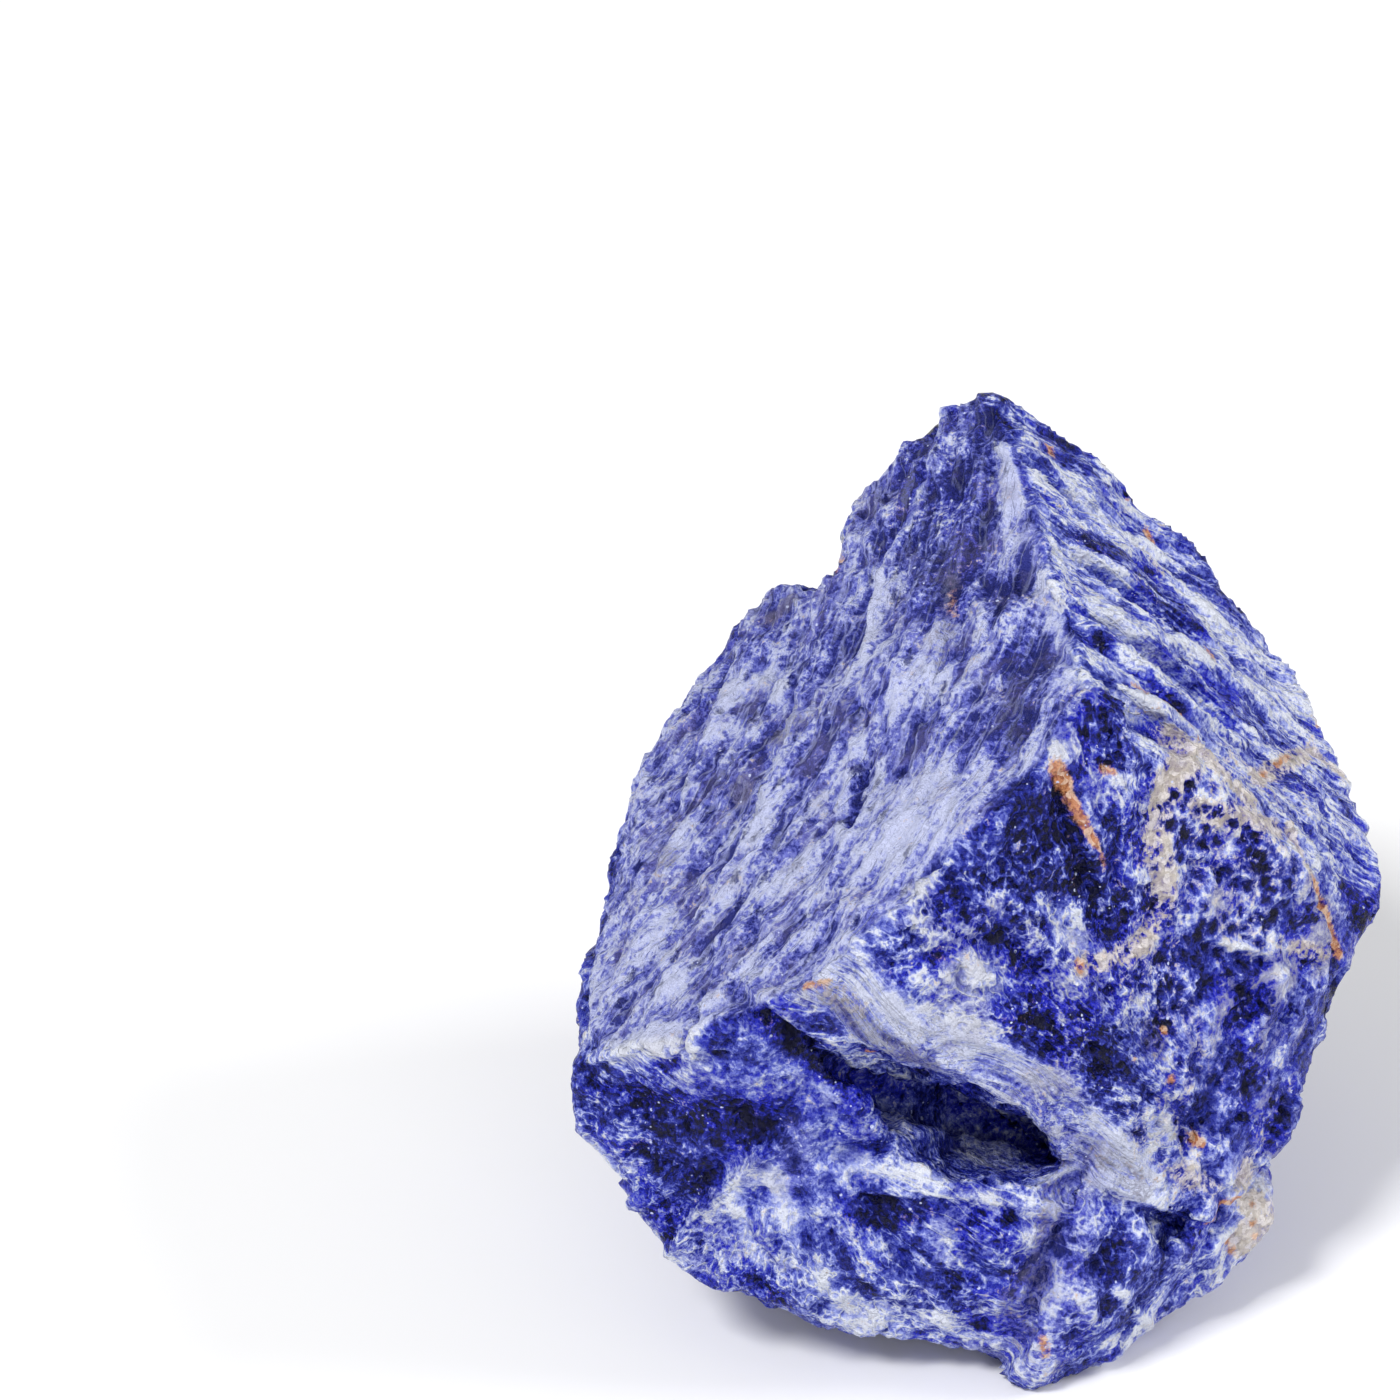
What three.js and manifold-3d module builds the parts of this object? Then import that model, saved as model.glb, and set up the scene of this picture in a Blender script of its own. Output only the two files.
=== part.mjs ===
// A rough chunk of sodalite, broken on every side. A crag has a weathered face on its left, a banded slope
// behind it and a crumbly front, which overhangs a foot and a belly. The stone rests on a small flat.
// Millimetres, +Z up. The front of the stone looks along -Y, and x runs to its right.
import * as THREE from "three";
import { ConvexGeometry } from "three/addons/geometries/ConvexGeometry.js";
import { ImprovedNoise } from "three/addons/math/ImprovedNoise.js";
import { TessellateModifier } from "three/addons/modifiers/TessellateModifier.js";
import { mergeVertices } from "three/addons/utils/BufferGeometryUtils.js";
import Module from "manifold-3d";

const wasm = await Module();
wasm.setup();

// ---- Driving dimensions, in mm ----
const longestEdge = 3.7; // the coarsest step of the broken surface
const steppingPasses = 40; // enough to halve every long edge down to that step
const finestEdge = 1.2; // corners of the broken surface that lie closer together than this become one
const weldDistance = 1e-3;
const cutBoxSide = 200; // a box larger than the stone, for the flat it rests on
const stoneColour = 0x5a63ad;

// The blocks that the stone is broken into. Each is the convex hull of its corners.
const crag = {
  apex: [1.5, 26, 66],
  apexLeft: [-2, 27.5, 63.5],
  apexRight: [4.5, 27.5, 63.5],
  backLeftHigh: [-5, 29, 59],
  backLeft: [-9.5, 28.5, 53.5],
  bump: [-16.5, 23, 48.5],
  leftShoulder: [-23, 16, 44],
  leftHip: [-28, 7, 40],
  leftSide: [-31, -1, 34],
  leftLow: [-32, -9.5, 30],
  leftTip: [-34, -17, 24],
  slopeTop: [7.5, 28, 60.5],
  slopeHigh: [13, 29, 54.5],
  slopeMid: [21, 27, 49],
  slopeLow: [28.5, 21, 40],
  slopeEnd: [31.5, 14.5, 35],
  rightHigh: [33.5, 9.5, 32.5],
  rightTip: [34.5, 3.5, 30],
  rightUnder: [31, -3, 27],
  rightKnee: [28.5, -5, 23.5],
  rightShin: [26, -9, 18.5],
  rightHeel: [24, -13.5, 13],
  ridgeHigh: [3, 13, 62.5],
  ridgeMid: [6, 0, 60],
  ridgeCorner: [8.5, -11, 58],
  ridgeTurn: [5, -15.5, 54],
  ridgeLow: [0.5, -19.5, 51],
  ridgeEnd: [-8, -24.5, 45.5],
  nose: [-15, -27, 40.5],
  bandLeft: [-10.5, -25.5, 37.5],
  bandMid: [-2.5, -24, 33],
  bandRight: [4, -22.5, 30],
  bandFall: [8.5, -22.5, 25],
  bandEnd: [12, -22, 20],
  lipStart: [-19, -25.5, 38],
  lipLeft: [-15.5, -25.5, 35],
  lipMid: [-10, -24.5, 31],
  lipRight: [-2, -23, 28.5],
  lipFall: [4, -23, 23],
  lipLow: [9, -22.5, 18],
  lipEnd: [18.5, -19.5, 12.5],
  hemLeft: [-31.5, -19.5, 28],
  hemMid: [-27.5, -23, 32],
  hemRight: [-23.5, -25.5, 33.5],
  endTop: [17, -7, 50],
  endMid: [26.5, -6, 39],
  endLow: [29.5, -5.5, 28.5],
  front: [13, -16, 36.5],
  rearLeft: [-14, 31, 40],
  rearRight: [10, 34, 42],
  rearEdge: [25, 27, 24],
  rearLow: [-20, 25, 18],
  rearFoot: [2, 34, 14],
  sideRight: [26, 12, 9],
  sideRightFront: [25, 2, 9],
  sideLeft: [-26, 5, 13],
  sideLeftFront: [-27, -8, 14],
  lowRear: [14, 24, 5],
  lowRearLeft: [-10, 22, 4],
  seatRight: [15, -7, -2.5],
  seatBackRight: [14, 9, -2.5],
  seatBack: [3, 13, -2.5],
  seatBackLeft: [-11, 6, -2.5],
  seatLeft: [-11, -7, -2.5],
};

const foot = {
  tip: [-34.5, -17, 23.5],
  heel: [-32.5, -17, 18.5],
  sole: [-30.5, -18, 16.5],
  soleFront: [-27.5, -18.5, 12],
  toe: [-23, -22.5, 9],
  instep: [-16.5, -25, 19.5],
  topRight: [-18.5, -25, 34],
  topMid: [-23.5, -24.5, 32.5],
  topLeft: [-27.5, -22, 30.5],
  innerTop: [-20, -2, 30],
  innerLow: [-27, -6, 15],
  innerRight: [-6, -14, 26],
};

const cheek = {
  top: [-18, -25, 35],
  edge: [-12, -23, 29],
  edgeLow: [-9, -22.5, 26],
  corner: [-6, -21.5, 23.5],
  low: [-8.5, -24, 21.5],
  lowLeft: [-17.5, -25.5, 21],
  left: [-20, -25, 32],
  inner: [-14, -6, 26],
};

const belly = {
  seatLeft: [-11, -11.5, -2.5],
  seatFrontLeft: [-3, -13.5, -2.5],
  seatFrontRight: [5, -14, -2.5],
  seatRight: [15, -11, -2.5],
  seatBackLeft: [-11, 0, -2.5],
  backRight: [20, 0, 14],
  backLeft: [-26, -6, 18],
  innerTop: [0, -6, 30],
  leftUnder: [-27.5, -18, 11],
  leftFront: [-23, -22.5, 9],
  frontLeft: [-17, -24.5, 7.5],
  front: [-9, -25, 4.5],
  frontRight: [-2, -24, 3],
  frontEnd: [4, -24.5, 2.5],
  ledgeLeft: [-15, -25, 21.5],
  ledgeMid: [-10, -25, 22],
  ledgeRight: [-3, -24.5, 21.5],
  ledgeEnd: [6.5, -22.5, 19.5],
  bulgeLeft: [-17.5, -26, 16],
  bulge: [-9.5, -27, 17],
  bulgeRight: [1, -27, 16],
  lowLeft: [-8.5, -27.5, 11],
  lowRight: [2, -27.5, 10],
  rightTop: [6.5, -25, 15],
  rightLow: [5, -26.5, 8],
};

const rump = {
  backRight: [24, 0, 15],
  backLeft: [4, 0, 14],
  seatFront: [5, -23, -2.5],
  seatRight: [15.5, -11.5, -2.5],
  top: [7.5, -23.5, 18.5],
  haunchTop: [14.5, -20.5, 15.5],
  rightSide: [24.5, -14, 10],
  rightUnder: [22, -15.5, 5.5],
  rightFront: [17, -19.5, 3],
  spurRight: [11, -23.5, 1.5],
  spur: [5, -26.5, 1],
  spurLeft: [2.5, -25.5, 1],
  spurTop: [4, -27.5, 6.5],
  left: [6, -25.5, 13],
  haunch: [13.5, -23, 11],
  fold: [9, -26, 10],
};

// What broke out of the blocks: the hollow under the crag's lip, the pocket under the lip's end, and the
// notch behind the left shoulder.
const hollow = {
  roofStart: [-17.5, -36.5, 44.5],
  roofLeft: [-15, -37.5, 43],
  roofMid: [-10.5, -39, 41],
  roofRight: [-3, -39.5, 40],
  roofFall: [2, -41.5, 36.5],
  roofEnd: [5, -42.5, 34.5],
  floorLeft: [-12.5, -42, 35.5],
  floorMid: [-5, -45, 29.5],
  floorRight: [5, -45.5, 29.5],
  deepLeft: [-11, -18, 27],
  deepMid: [-2.5, -9.5, 19.5],
  deepRight: [5.5, -12.5, 16.5],
  deepLowLeft: [-10, -17, 23],
  deepLowMid: [-2, -9.5, 13.5],
  deepLowRight: [5.5, -11.5, 14],
};

const pocket = {
  rimLeft: [8.5, -37, 27.5],
  rimTop: [12, -37.5, 27],
  rimRight: [16.5, -38, 26],
  rimLow: [15, -40.5, 21.5],
  rimLowLeft: [10, -40, 22.5],
  deepLeft: [14, -17.5, 12],
  deepRight: [17.5, -16.5, 10],
  deepLow: [15, -19, 9],
  rimSide: [17.5, -39, 24.5],
};

const notch = {
  inner: [-13, 21.5, 51],
  innerFront: [-11.5, 15, 52],
  innerBack: [-13, 49, 36.5],
  right: [-9, 22, 64],
  rightBack: [-8, 55, 47.5],
  left: [-19.5, 15.5, 52.5],
  leftBack: [-19.5, 48, 35],
  top: [-18, 22, 64.5],
  topBack: [-17.5, 55.5, 48],
  rightBackHigh: [-8.5, 45, 75],
  topBackHigh: [-17.5, 45, 75],
};

// Flakes that came off the blocks. The surface drops along a line, deepest at its middle, and rises again
// to one side.
const leftFace = [-0.56, -0.2, 0.8];
const slopeFace = [0.72, -0.04, 0.69];
const frontFace = [0.54, -0.8, 0.26];
const bellyFace = [-0.13, -0.99, 0];
const footFace = [-0.52, -0.85, -0.1];
const flakes = [
  { from: [2.5, 17, 63.5], to: [18, 24, 51.5], faces: slopeFace },
  { from: [4, 9.5, 62], to: [22.5, 14, 46], faces: slopeFace },
  { from: [5, 1, 60], to: [26, 6.5, 41], faces: slopeFace },
  { from: [6, -6.5, 58], to: [18.5, -7.5, 48], faces: slopeFace },
  { from: [-8.5, 5, 53], to: [-4, 23, 61], faces: leftFace },
  { from: [-16, -17.5, 42.5], to: [-9.5, -1, 51], faces: leftFace },
  { from: [-23, -23, 35.5], to: [-13.5, -20, 43.5], faces: leftFace },
  { from: [-6.5, -10, 50.5], to: [-1.5, 8.5, 58.5], faces: leftFace },
  { from: [17.5, -13.5, 35.5], to: [23, -10.5, 32], faces: frontFace },
  { from: [25, -9.5, 31.5], to: [20.5, -14, 25.5], faces: frontFace },
  { from: [-12.5, -27, 14.5], to: [-2, -27.5, 12.5], faces: bellyFace },
  { from: [-21.5, -23.5, 17.5], to: [-15, -25.5, 10], faces: bellyFace },
  { from: [-32, -18.5, 23.5], to: [-23, -23.5, 20.5], faces: footFace },
];
const flakeDepth = 0.9;
const flakeWidth = 5;

// The relief that the breaks left on the blocks: its wave, how far it is drawn out along a direction, and
// its height.
const lumps = { wave: 15, height: 1.1 };
const knobs = { wave: 7, height: 0.95 };
const weathered = {
  faces: [-0.52, -0.3, 0.8],
  along: [-0.51, -0.71, -0.48],
  stretch: 4,
  wave: 6.5,
  height: 0.7,
};
const banded = {
  faces: [0.7, 0, 0.7],
  along: [0.73, 0.19, -0.65],
  stretch: 4,
  wave: 6.5,
  height: 0.8,
};
const facingFrom = 0.72; // the cosine at which a drawn-out relief begins to show on a face
const facingFull = 0.9;
const crest = 0.35; // how far a ridge stands out of its face, and a furrow goes in, as shares of the height
const furrow = 2;
const sunk = 0.35; // the relief lies this far inside the blocks on average

const noise = new ImprovedNoise();

const noiseAt = (point, wave) => noise.noise(point.x / wave, point.y / wave, point.z / wave);

// Parallel ridges: noise that is read with its length along one direction shortened.
function ridges(point, normal, { faces, along, stretch, wave, height }) {
  const direction = new THREE.Vector3(...along).normalize();
  const facing = normal.dot(new THREE.Vector3(...faces).normalize());
  const share = THREE.MathUtils.smoothstep(facing, facingFrom, facingFull);
  const drawnOut = point.clone().addScaledVector(direction, point.dot(direction) * (1 / stretch - 1));
  return share * height * (crest - furrow * Math.abs(noiseAt(drawnOut, wave)));
}

function relief(point, normal) {
  const lumpy = lumps.height * noiseAt(point, lumps.wave) + knobs.height * noiseAt(point, knobs.wave);
  return lumpy + ridges(point, normal, weathered) + ridges(point, normal, banded) - sunk;
}

// Joins the vertices that lie within a distance, and drops the triangles that this closes up.
function welded(geometry, distance = weldDistance) {
  const bare = new THREE.BufferGeometry().setAttribute("position", geometry.getAttribute("position"));
  bare.setIndex(geometry.index);
  const joined = mergeVertices(bare, distance);
  const kept = [];
  for (let i = 0; i < joined.index.count; i += 3) {
    const [a, b, c] = joined.index.array.subarray(i, i + 3);
    if (a !== b && b !== c && c !== a) kept.push(a, b, c);
  }
  return joined.setIndex(kept);
}

function solidOf(geometry) {
  const { attributes, index } = welded(geometry);
  const vertProperties = new Float32Array(attributes.position.array);
  const triVerts = new Uint32Array(index.array);
  return new wasm.Manifold(new wasm.Mesh({ numProp: 3, vertProperties, triVerts }));
}

function geometryOf(solid) {
  const { numProp, numVert, vertProperties, triVerts } = solid.getMesh();
  const positions = new Float32Array(numVert * 3);
  for (let i = 0; i < numVert; i++) {
    positions.set(vertProperties.subarray(i * numProp, i * numProp + 3), i * 3);
  }
  return new THREE.BufferGeometry()
    .setAttribute("position", new THREE.BufferAttribute(positions, 3))
    .setIndex(new THREE.BufferAttribute(triVerts, 1));
}

function block(corners) {
  return solidOf(new ConvexGeometry(Object.values(corners).map((corner) => new THREE.Vector3(...corner))));
}

function flake({ from, to, faces }) {
  const start = new THREE.Vector3(...from);
  const end = new THREE.Vector3(...to);
  const outward = new THREE.Vector3(...faces).normalize();
  const middle = start.clone().lerp(end, 0.5);
  const side = end.clone().sub(start).normalize().cross(outward);
  const far = middle.clone().addScaledVector(side, flakeWidth);
  const rim = [start, end, far];
  const above = rim.map((corner) => corner.clone().addScaledVector(outward, flakeWidth));
  const bottom = middle.clone().addScaledVector(outward, -flakeDepth);
  return solidOf(new ConvexGeometry([...rim, ...above, bottom]));
}

// Moves every vertex along its normal by the relief there.
function roughened(geometry) {
  geometry.computeVertexNormals();
  const { position, normal } = geometry.attributes;
  const point = new THREE.Vector3();
  const outward = new THREE.Vector3();
  for (let i = 0; i < position.count; i++) {
    point.fromBufferAttribute(position, i);
    outward.fromBufferAttribute(normal, i);
    point.addScaledVector(outward, relief(point, outward));
    position.setXYZ(i, ...point);
  }
  return geometry;
}

const cut = (solid, cutters) => cutters.reduce((left, cutter) => left.subtract(cutter), solid);

const whole = [crag, foot, cheek, belly, rump].map(block).reduce((joined, next) => joined.add(next));
const blocks = cut(whole, [hollow, pocket, notch].map(block));
const stepper = new TessellateModifier(longestEdge, steppingPasses);
const stepped = stepper.modify(geometryOf(blocks).toNonIndexed());
const rough = solidOf(roughened(welded(stepped, finestEdge)));
const ground = new THREE.BoxGeometry(cutBoxSide, cutBoxSide, cutBoxSide).translate(0, 0, -cutBoxSide / 2);
const stoneGeometry = geometryOf(cut(rough, [...flakes.map(flake), solidOf(ground)]));

const material = new THREE.MeshStandardMaterial({ color: stoneColour, roughness: 0.55, metalness: 0 });
const stone = new THREE.Mesh(stoneGeometry, material);
stone.name = "stone";
stoneGeometry.computeBoundingBox();
const middle = stoneGeometry.boundingBox.getCenter(new THREE.Vector3());
stone.position.set(-middle.x, -middle.y, 0); // the origin lies under the middle of the stone

const part = new THREE.Group();
part.add(stone);
export default part;
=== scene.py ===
import math

import bmesh
import bpy
import numpy as np
from mathutils import Matrix, Vector, noise
from mathutils.bvhtree import BVHTree


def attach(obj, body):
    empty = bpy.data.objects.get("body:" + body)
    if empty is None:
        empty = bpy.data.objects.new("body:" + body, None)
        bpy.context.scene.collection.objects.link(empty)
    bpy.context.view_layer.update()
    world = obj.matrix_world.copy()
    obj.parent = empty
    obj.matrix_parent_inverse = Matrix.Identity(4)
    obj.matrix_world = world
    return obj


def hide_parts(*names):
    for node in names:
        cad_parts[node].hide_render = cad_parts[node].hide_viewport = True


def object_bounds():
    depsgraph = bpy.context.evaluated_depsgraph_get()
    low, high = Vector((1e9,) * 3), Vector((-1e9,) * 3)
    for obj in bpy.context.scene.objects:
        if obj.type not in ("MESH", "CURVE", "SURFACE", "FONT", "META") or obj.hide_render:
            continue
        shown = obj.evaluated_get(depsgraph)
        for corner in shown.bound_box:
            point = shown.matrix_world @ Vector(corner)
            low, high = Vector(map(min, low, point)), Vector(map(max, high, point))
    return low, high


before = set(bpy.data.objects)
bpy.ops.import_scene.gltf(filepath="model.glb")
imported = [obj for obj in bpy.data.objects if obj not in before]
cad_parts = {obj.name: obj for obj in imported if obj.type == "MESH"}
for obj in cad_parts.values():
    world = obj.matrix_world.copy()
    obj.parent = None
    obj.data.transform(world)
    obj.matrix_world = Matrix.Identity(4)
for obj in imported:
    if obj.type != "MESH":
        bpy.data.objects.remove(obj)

mm = 0.001
scene = bpy.context.scene
cadBox = [list(corner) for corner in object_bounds()]

# Where the camera stands. Pixels are those of a square picture.
sight = {
    "side": 1400,
    "middle": (976, 891),  # the pixel where the aim shows
    "aim": Vector((-0.4, -3.6, 32)) * mm,
    "distance": 420 * mm,
    "elevation": math.radians(30),
    "lens": 130,
    "sensor": 36,
    "clipStart": 10 * mm,
    "drawnIn": range(0, 40, 2),  # how many pixels inwards placeOn looks for the stone
}
focalPixels = sight["side"] * sight["lens"] / sight["sensor"]
rightward = Vector((1, 0, 0))
backward = Vector((0, -math.cos(sight["elevation"]), math.sin(sight["elevation"])))
upward = backward.cross(rightward)


def towards(pixel):
    half = sight["side"] / 2
    return rightward * (pixel[0] - half) + upward * (half - pixel[1]) - backward * focalPixels


cameraPlace = sight["aim"] - towards(sight["middle"]) * (sight["distance"] / focalPixels)


def pixelsOf(points):
    away = points - np.array(cameraPlace)
    scale = focalPixels / (away @ -np.array(backward))
    half = sight["side"] / 2
    return half + away @ np.array(rightward) * scale, half - away @ np.array(upward) * scale


def addCamera():
    data = bpy.data.cameras.new("camera")
    data.lens = sight["lens"]
    data.sensor_width = sight["sensor"]
    data.clip_start = sight["clipStart"]
    camera = bpy.data.objects.new("camera", data)
    turn = Matrix((rightward, upward, backward)).transposed()
    camera.matrix_world = Matrix.Translation(cameraPlace) @ turn.to_4x4()
    scene.collection.objects.link(camera)
    scene.camera = camera


studio = {
    "floorSide": 12.0,
    "floorColour": (0.95, 0.95, 0.95, 1),
    "floorRoughness": 0.8,
    "skyStrength": 0.45,
    "lamps": {  # place in metres, size in metres, power in watts
        "keyLamp": ((-1.3, -1.3, 2.4), 0.7, 62),
        "rightLamp": ((2.0, 0.1, 1.4), 0.8, 22),
        "frontLamp": ((0.8, -2.2, 0.7), 1.1, 12),
    },
}


def addStudio():
    shape = bmesh.new()
    bmesh.ops.create_grid(shape, x_segments=1, y_segments=1, size=studio["floorSide"] / 2)
    mesh = bpy.data.meshes.new("floor")
    shape.to_mesh(mesh)
    shape.free()
    floor = bpy.data.objects.new("floor", mesh)
    scene.collection.objects.link(floor)
    finish = bpy.data.materials.new("paleFloor")
    finish.use_nodes = True
    shader = finish.node_tree.nodes["Principled BSDF"]
    shader.inputs["Base Color"].default_value = studio["floorColour"]
    shader.inputs["Roughness"].default_value = studio["floorRoughness"]
    mesh.materials.append(finish)

    world = bpy.data.worlds.new("softSky")
    world.use_nodes = True
    sky = world.node_tree.nodes["Background"]
    sky.inputs["Color"].default_value = (1, 1, 1, 1)
    sky.inputs["Strength"].default_value = studio["skyStrength"]
    scene.world = world
    scene.view_settings.view_transform = "Standard"

    for name, (place, size, power) in studio["lamps"].items():
        light = bpy.data.lights.new(name, "AREA")
        light.size = size
        light.energy = power
        lamp = bpy.data.objects.new(name, light)
        facing = (sight["aim"] - Vector(place)).to_track_quat("-Z", "Y")
        lamp.matrix_world = Matrix.Translation(place) @ facing.to_matrix().to_4x4()
        scene.collection.objects.link(lamp)


addCamera()
addStudio()
print("camera, floor and lamps are in place")

# The stone's own mesh: the CAD solid with small steps, then the relief of each face.
stoneShape = {
    "mergeWithin": 1e-6,
    "step": 0.37 * mm,
    "softenRounds": 6,
    "softenShare": 0.5,
    "farTurn": -0.05,  # faces that point less than this towards the camera are made coarser
    "farShare": 0.62,  # the share of their triangles that is kept
    "broadRounds": 60,  # rounds of averaging that give the broad direction of a face
    "leftFace": Vector((-0.57, -0.19, 0.8)),
    "slopeFace": Vector((0.72, -0.04, 0.69)),
    "strandCentre": Vector((-51, 34.8, 29.4)) * mm,  # the strands of the left face are arcs round it
    "strandStretch": 3.2,
    "slopeAlong": Vector((0.73, 0.19, -0.65)),
    "slopeStretch": 5,
    "rimStretch": 6,
    "markFade": (0.35, 1.5),  # in half widths: a mark is whole up to the first and gone at the second
    "foldReach": 1.4,  # in half widths
    "foldPower": 1.6,
    "cliffBreak": 0.3 * mm,  # half the width over which a cliff drops
    "cliffReach": 1.5,  # in half widths
    "threadSharpness": 2.6,
    "terraceWidth": 3.4 * mm,
    "terraceWarp": 0.5,  # in widths
    "terraceEdge": 0.8,  # where on its width a terrace drops
    "leavesPerWave": 3,
    "leafEdge": (0.55, 1.0),
    "crestHeight": 0.5 * mm,  # the height that counts as a full crest
    "inset": 0.15 * mm,
    "softEdge": 0.8 * mm,
    # Where each region begins and where it is whole.
    "edges": {
        "towardsCamera": (0.0, 0.25),  # how far a face points towards the camera
        "film": (0.8, 0.93),  # how far it points along leftFace
        "filmHeight": (21 * mm, 27 * mm),
        "slope": (0.76, 0.93),  # how far it points along slopeFace
        "slopeHeight": (18 * mm, 33 * mm),
        "rim": (1.8 * mm, 3.4 * mm),  # from bandLine
        "rimBelow": (2, 14),  # pixels below underSide
        "hollow": (4 * mm, 7 * mm),  # from hollowLine
        "belly": (-2, 12),  # pixels below underSide
        "fan": (1130, 1230),  # pixels from the left
        "spread": (50, 170),  # pixels from the middle of bellyFlow
    },
    "slopeRagged": 6 * mm,  # how far the noise called ragged moves slopeHeight
    # Noise: the coordinates it reads, its wave in mm, its octaves and its offset.
    "noise": {
        "ragged": ("place", 5, 3, 51.3),
        "strands": ("leftFlow", 2.2, 3, 0.0),
        "threads": ("leftFlow", 1.7, 2, 31.7),
        "terraceWarp": ("place", 7, 2, 5.3),
        "bands": ("slopeFlow", 1.1, 3, 11.1),
        "leaves": ("rimFlow", 0.9, 3, 3.1),
        "ledges": ("bellyFlow", 1.5, 3, 17.9),
        "streaks": ("frontFlow", 1.4, 3, 23.3),
        "bumps": ("place", 4.5, 4, 2.7),
        "crumbs": ("place", 1.4, 3, 9.3),
        "leafSteps": ("slopeFlow", 2.4, 2, 41.9),
    },
    # Flat chips: the wave of their cells in mm, how much they tilt, and their offset.
    "chips": {
        "chips": (2.8, 0.36, 0.0),
        "smallChips": (1.4, 0.3, 0.01),
        "rearChips": (9, 0.22, 0.0),
    },
    # What each region's relief is made of: heights of noise, and shares of chips.
    "fineRelief": {
        "film": {"strands": 0.36 * mm, "threads": 0.34 * mm, "crumbs": 0.16 * mm, "chips": 0.45,
                 "smallChips": 0.5},
        "slope": {"steps": 0.3 * mm, "leafSteps": 0.22 * mm, "bands": 0.2 * mm, "crumbs": 0.08 * mm},
        "rim": {"leaves": 0.3 * mm, "crumbs": 0.06 * mm},
        "front": {"chips": 1, "smallChips": 1, "crumbs": 0.16 * mm},
        "frontRear": {"smallChips": -0.5},
        "belly": {"chips": 0.7, "smallChips": 0.7, "crumbs": 0.12 * mm},
        "spread": {"ledges": 0.36 * mm},
        "fan": {"streaks": 0.25 * mm},
    },
    "broadRelief": {"everywhere": {"bumps": 0.25 * mm}, "rear": {"rearChips": 1}},
}
tiny = 1e-12  # keeps a division by a length of nothing finite


def rise(values, low, high):
    share = np.clip((values - low) / (high - low), 0, 1)
    return share * share * (3 - 2 * share)


def weighted(parts, shares, total=0):
    # The named parts added up, each times its share.
    for name, share in shares.items():
        total = parts[name] * share + total
    return total


def noiseAt(places, wave, octaves, offset):
    rows = (places / wave + offset).tolist()
    return np.array([noise.fractal(row, 1.0, 2.0, octaves) for row in rows])


def chipsAt(places, wave, tilt, offset):
    # Each chip is a small plane of its own slope round the middle of its cell.
    shuffle = 7.3  # sets the slopes of neighbouring cells apart
    heights = []
    for row in ((places + offset) / wave).tolist():
        middle = noise.voronoi(row)[1][0]
        slope = noise.cell_vector(middle * shuffle) - Vector((0.5, 0.5, 0.5))
        heights.append((Vector(row) - middle).dot(slope))
    return np.array(heights) * wave * tilt


def baked(body, name):
    seen = body.evaluated_get(bpy.context.evaluated_depsgraph_get())
    mesh = bpy.data.meshes.new_from_object(seen)
    mesh.name = name
    bpy.data.objects.remove(body)
    return mesh


def inScene(mesh):
    body = bpy.data.objects.new(mesh.name, mesh)
    scene.collection.objects.link(body)
    return body


def fineMesh(node):
    shape = bmesh.new()
    shape.from_mesh(node.data)
    bmesh.ops.remove_doubles(shape, verts=shape.verts, dist=stoneShape["mergeWithin"])
    mesh = bpy.data.meshes.new("bareStone")
    shape.to_mesh(mesh)
    shape.free()
    bare = inScene(mesh)
    steps = bare.modifiers.new("steps", "REMESH")
    steps.mode = "VOXEL"
    steps.voxel_size = stoneShape["step"]
    soften = bare.modifiers.new("soften", "SMOOTH")
    soften.factor = stoneShape["softenShare"]
    soften.iterations = stoneShape["softenRounds"]
    even = inScene(baked(bare, "evenStone"))

    # Only the side away from the camera is made coarser.
    facing = readVectors(even.data.vertex_normals, "vector") @ np.array(backward)
    farSide = even.vertex_groups.new(name="farSide")
    farSide.add(np.flatnonzero(facing < stoneShape["farTurn"]).tolist(), 1.0, "REPLACE")
    thin = even.modifiers.new("thin", "DECIMATE")
    thin.vertex_group = "farSide"
    thin.ratio = stoneShape["farShare"]
    return baked(even, "stone")


def readVectors(rows, field):
    flat = np.empty(len(rows) * 3)
    rows.foreach_get(field, flat)
    return flat.reshape(-1, 3)


def averaged(values, edges, rounds):
    # Each round, a vertex takes the mean of itself and its neighbours.
    count = len(values)
    ends = np.concatenate([edges[:, 0], edges[:, 1]])
    others = np.concatenate([edges[:, 1], edges[:, 0]])
    shares = 1 + np.bincount(ends, minlength=count)
    for _ in range(rounds):
        sums = [np.bincount(ends, values[others, axis], count) for axis in range(3)]
        values = (values + np.stack(sums, axis=1)) / shares[:, None]
    return values


def unit(vector):
    return np.array(vector.normalized())


def fanned(points, centre, facing, radius, stretch):
    # Coordinates of streaks that spread from a centre, with the seam on the side away from the facing one.
    away = points - centre
    side = away @ np.array(rightward)
    climb = away @ np.array(upward)
    ahead = side * facing[0] + climb * facing[1]
    aside = side * facing[1] - climb * facing[0]
    across = np.arctan2(aside, ahead) * radius
    return np.stack([across, np.hypot(side, climb) / stretch, away @ np.array(backward)], axis=1)


def alongLine(points, line):
    # The distance to a line of places, and how far each point lies to its left, as the camera sees it.
    nearest = np.full(len(points), np.inf)
    leftward = np.zeros(len(points))
    if len(line) == 1:
        line = [line[0], line[0]]
    for start, end in zip(line, line[1:]):
        span = end - start
        share = np.clip((points - start) @ span / max(span @ span, tiny), 0, 1)
        offset = points - start - share[:, None] * span
        distance = np.linalg.norm(offset, axis=1)
        left = np.cross(np.array(backward), span)
        closer = distance < nearest
        nearest = np.where(closer, distance, nearest)
        leftward = np.where(closer, offset @ left / max(np.linalg.norm(left), tiny), leftward)
    return nearest, leftward


longLine = [(947, 414), (930, 465), (908, 518), (882, 571), (869, 633), (862, 700)]
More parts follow.
